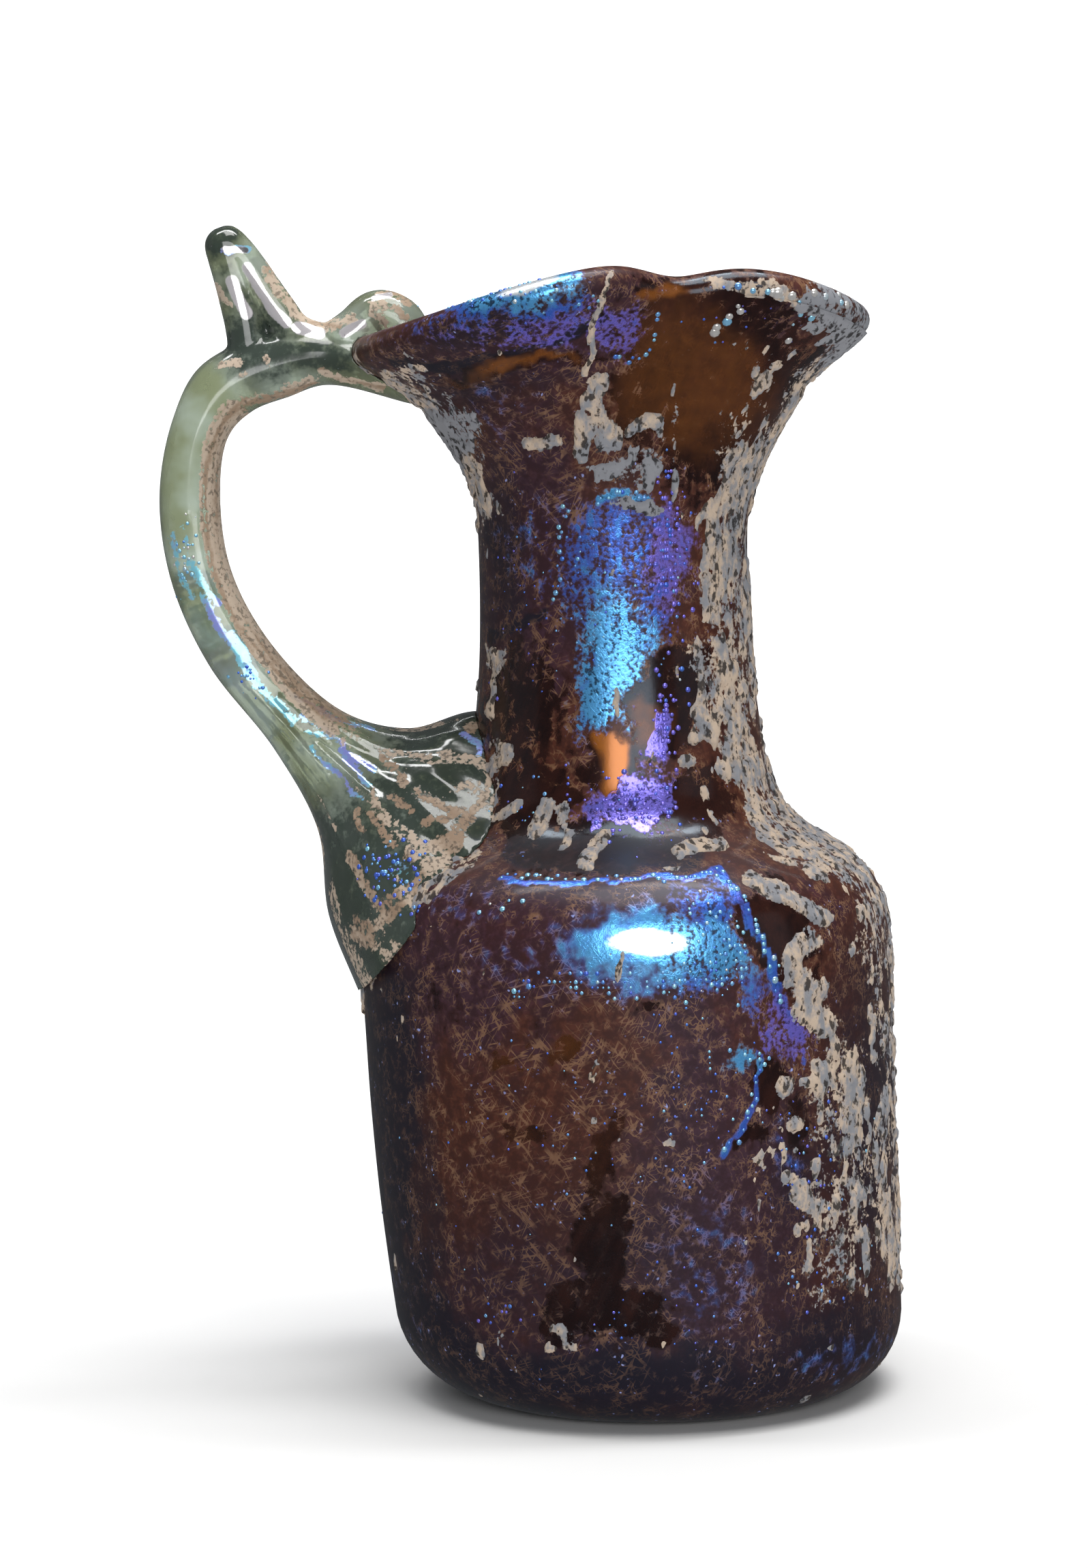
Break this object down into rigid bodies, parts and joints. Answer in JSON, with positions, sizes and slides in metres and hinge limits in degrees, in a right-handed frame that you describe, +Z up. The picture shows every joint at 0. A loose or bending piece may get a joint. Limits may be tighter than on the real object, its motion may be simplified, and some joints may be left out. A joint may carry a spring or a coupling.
{
  "type": "glass pitcher",
  "caption": "Small ancient blown-glass pitcher with a round amber body, slender neck, flared pinched mouth and an applied pale green handle with a folded thumb-rest.",
  "frame": {"origin": "middle of the flat base, on the surface the pitcher stands on", "axes": "+Z up out of the mouth, +X towards the spout, -X towards the handle"},
  "size_m": [0.0774, 0.056, 0.1237],
  "materials": {
    "amber_glass": "glossy dark amber glass with iridescent weathering film and tan burial crust",
    "green_glass": "glossy pale green translucent glass with weathered streaks and crust"
  },
  "bodies": {
    "root": {"vessel": "amber_glass", "handle": "green_glass"}
  },
  "joints": []
}
